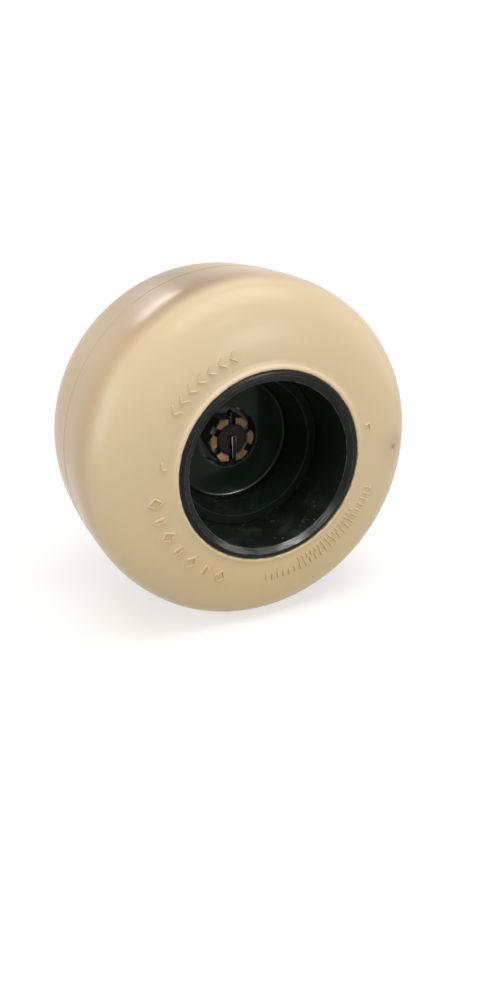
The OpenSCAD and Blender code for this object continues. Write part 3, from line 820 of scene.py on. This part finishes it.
def twin_bars(size):
    """Two short strokes side by side."""
    return [[(x, -size * 0.35), (x, size * 0.35)] for x in (-size * 0.16, size * 0.16)]


def diamond(size):
    """A closed ring of four strokes."""
    return [[(0, size / 2), (size * 0.38, 0), (0, -size / 2), (-size * 0.38, 0), (0, size / 2)]]


def corner_tick(size):
    """A short corner."""
    return [[(-size / 2, size * 0.3), (size / 2, size * 0.3), (size / 2, -size * 0.5)]]


# The rows, as (shapes, first and last place in degrees round the wheel, distance from the axis, size)
MARK_ROWS = [
    ([chevron] * 7, 145, 110, 88 * MM, 7.5 * MM),
    ([diamond, twin_bars] * 3 + [diamond], 188, 242, 89.5 * MM, 10 * MM),
    ([bar] * 24, 268, 341, 89 * MM, 5.5 * MM),
    ([bar] * 16, 287, 327, 82.5 * MM, 3.6 * MM),
    ([corner_tick] * 2, 170.5, 14.5, 83 * MM, 4.5 * MM)]


def build_marks(material):
    """All the raised marks, as one piece."""
    corners = []
    faces = []
    for shapes, first, last, radius, size in MARK_ROWS:
        for i, shape in enumerate(shapes):
            turn = math.radians(first + (last - first) * i / (len(shapes) - 1))
            for stroke in shape(size):
                ridge(stroke, turn, radius, corners, faces)
    mesh = bpy.data.meshes.new("side_wall_marks")
    mesh.from_pydata(corners, [], faces)
    mesh.materials.append(material)
    marks = add_object("side_wall_marks", mesh)
    smooth(marks, MARK_CREASE)
    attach(marks, "wheel")


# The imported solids

def paint(node, material):
    """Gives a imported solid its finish."""
    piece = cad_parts[node]
    piece.data.materials.clear()
    piece.data.materials.append(material)


def finish_solids():
    """The finish of every solid but the tyre."""
    bearing = worked_steel("ground_bearing_steel", (0.50, 0.51, 0.52, 1), (0.44, 0.44, 0.45, 1), 0.28)
    roller = worked_steel("polished_roller_steel", (0.62, 0.63, 0.64, 1), (0.56, 0.56, 0.57, 1), 0.18)
    cage = worked_steel("pressed_cage_steel", (0.36, 0.34, 0.30, 1), (0.30, 0.27, 0.22, 1), 0.42)
    seal_case = worked_steel("painted_seal_case", (0.05, 0.05, 0.055, 1), (0.08, 0.08, 0.08, 1), 0.38, 0.3)
    spring = worked_steel("bright_spring_wire", (0.5, 0.5, 0.52, 1), (0.42, 0.42, 0.42, 1), 0.3)
    washer = worked_steel("black_washer_steel", (0.05, 0.048, 0.04, 1), (0.035, 0.033, 0.028, 1), 0.5, 0.2)
    finishes = {
        "base_band": band_paint(), "wheel_centre": black_casting(),
        "outer_cup": bearing, "inner_cup": bearing, "outer_cone": bearing, "inner_cone": bearing,
        "outer_rollers": roller, "inner_rollers": roller, "outer_cage": cage, "inner_cage": cage,
        "seal_case": seal_case, "seal_lip": soft_black_rubber(), "garter_spring": spring,
        "stub_axle": dark_axle(), "spindle_washer": washer,
        "castle_nut": yellow_zinc(), "split_pin": dull_wire()}
    for node, material in finishes.items():
        paint(node, material)


# Floor, lights and camera

WHITE = (1, 1, 1, 1)
FLOOR_COLOUR = (0.48, 0.47, 0.45, 1)
FLOOR_GLOW = 0.62
FLOOR_SIZE = 8.0
# Between these distances from the wheel's centre the floor turns to plain white
FLOOR_FADE = (0.3, 0.8)
WORLD_LIGHT = 0.05
LAMP_DISTANCE = 1.5
# Soft lamps, as (name, direction from the wheel, width and height in metres, power in watts)
LAMPS = [
    ("ceiling", (0.08, -0.30, 0.93), (1.6, 0.9), 18),
    ("far_ceiling", (0.05, 0.50, 0.86), (1.2, 0.5), 3.2),
    ("far_window", (-0.12, 0.83, 0.545), (0.46, 0.2), 2.4),
    ("left_wall", (-0.98, -0.1, 0.25), (0.9, 0.9), 9.5),
    ("left_window", (-0.84, 0.22, 0.50), (0.3, 0.6), 1.0),
    ("near_wall", (0.15, -0.95, 0.20), (1.4, 0.8), 6.2),
    ("near_lamp", (0.14, -0.81, 0.57), (0.3, 0.12), 1.2),
    ("low_lamp", (0.34, -0.92, 0.20), (0.26, 0.26), 2.4),
    ("right_wall", (0.98, -0.2, 0.25), (0.9, 0.9), 2.6)]


def seen_or_reflected(tree):
    """1 for the rays that show a background: from the camera, or off or through a glossy piece."""
    rays = add(tree, "LightPath").outputs
    both = calc(tree, "ADD", rays["Is Camera Ray"], rays["Is Glossy Ray"])
    return calc(tree, "ADD", both, rays["Is Transmission Ray"], clamp=True)


def floor_paint():
    """Pale and matt under the wheel, where it keeps the shadow, and white further out."""
    material = bpy.data.materials.new("floor")
    material.use_nodes = True
    tree = material.node_tree
    tree.nodes.clear()
    matt = add(tree, "BsdfDiffuse")
    matt.inputs["Color"].default_value = FLOOR_COLOUR
    shown = seen_or_reflected(tree)
    near_glow = add(tree, "Emission")
    near_glow.inputs["Color"].default_value = WHITE
    feed(tree, near_glow.inputs["Strength"], calc(tree, "MULTIPLY", shown, FLOOR_GLOW))
    near = add(tree, "AddShader")
    feed(tree, near.inputs[0], matt.outputs[0])
    feed(tree, near.inputs[1], near_glow.outputs[0])
    far_glow = add(tree, "Emission")
    far_glow.inputs["Color"].default_value = WHITE
    distance = add(tree, "VectorMath", operation="LENGTH")
    feed(tree, distance.inputs[0], here(tree))
    far = span(tree, distance.outputs["Value"], *FLOOR_FADE)
    mixed = add(tree, "MixShader")
    feed(tree, mixed.inputs[0], calc(tree, "MULTIPLY", far, shown))
    feed(tree, mixed.inputs[1], near.outputs[0])
    feed(tree, mixed.inputs[2], far_glow.outputs[0])
    feed(tree, add(tree, "OutputMaterial").inputs["Surface"], mixed.outputs[0])
    return material


def build_floor():
    """A square of floor that the tyre stands on."""
    half = FLOOR_SIZE / 2
    corners = [(x * half, y * half, FLOOR_Z) for x, y in ((-1, -1), (1, -1), (1, 1), (-1, 1))]
    mesh = bpy.data.meshes.new("floor")
    mesh.from_pydata(corners, [], [(0, 1, 2, 3)])
    mesh.materials.append(floor_paint())
    add_object("floor", mesh)


def build_world():
    """A world that looks white and lights the wheel a little."""
    world = bpy.data.worlds.new("studio")
    bpy.context.scene.world = world
    world.use_nodes = True
    tree = world.node_tree
    tree.nodes.clear()
    back = add(tree, "Background")
    back.inputs["Color"].default_value = WHITE
    shown = seen_or_reflected(tree)
    feed(tree, back.inputs["Strength"], span(tree, shown, 0.0, 1.0, WORLD_LIGHT, 1.0))
    feed(tree, add(tree, "OutputWorld").inputs["Surface"], back.outputs[0])


def softbox(name, direction, size, power):
    """An area light that shines on the wheel's centre from a direction."""
    light = bpy.data.lights.new(name, "AREA")
    light.shape = "RECTANGLE"
    light.size, light.size_y = size
    light.energy = power
    lamp = add_object(name, light)
    way = Vector(direction).normalized()
    lamp.location = way * LAMP_DISTANCE
    lamp.rotation_mode = "QUATERNION"
    lamp.rotation_quaternion = way.to_track_quat("Z", "Y")


def build_camera():
    """The camera, which looks along the photograph's viewing angle and a little past the wheel's centre."""
    level = math.cos(CAMERA_RISE)
    back = Vector((math.sin(CAMERA_TURN) * level, -math.cos(CAMERA_TURN) * level, math.sin(CAMERA_RISE)))
    right = Vector((math.cos(CAMERA_TURN), math.sin(CAMERA_TURN), 0))
    up = back.cross(right)
    camera = add_object("camera", bpy.data.cameras.new("camera"))
    camera.data.sensor_width = SENSOR
    camera.data.lens = FOCAL_PIXELS * SENSOR / IMAGE_H
    camera.location = back * CAMERA_DISTANCE + right * AIM_RIGHT + up * AIM_UP
    camera.rotation_mode = "QUATERNION"
    camera.rotation_quaternion = back.to_track_quat("Z", "Y")
    bpy.context.scene.camera = camera


build_camera()
build_floor()
build_world()
for lamp in LAMPS:
    softbox(*lamp)
bpy.context.scene.view_settings.view_transform = "Standard"

rubber = tan_rubber()
build_tyre(rubber)
build_marks(rubber)
finish_solids()
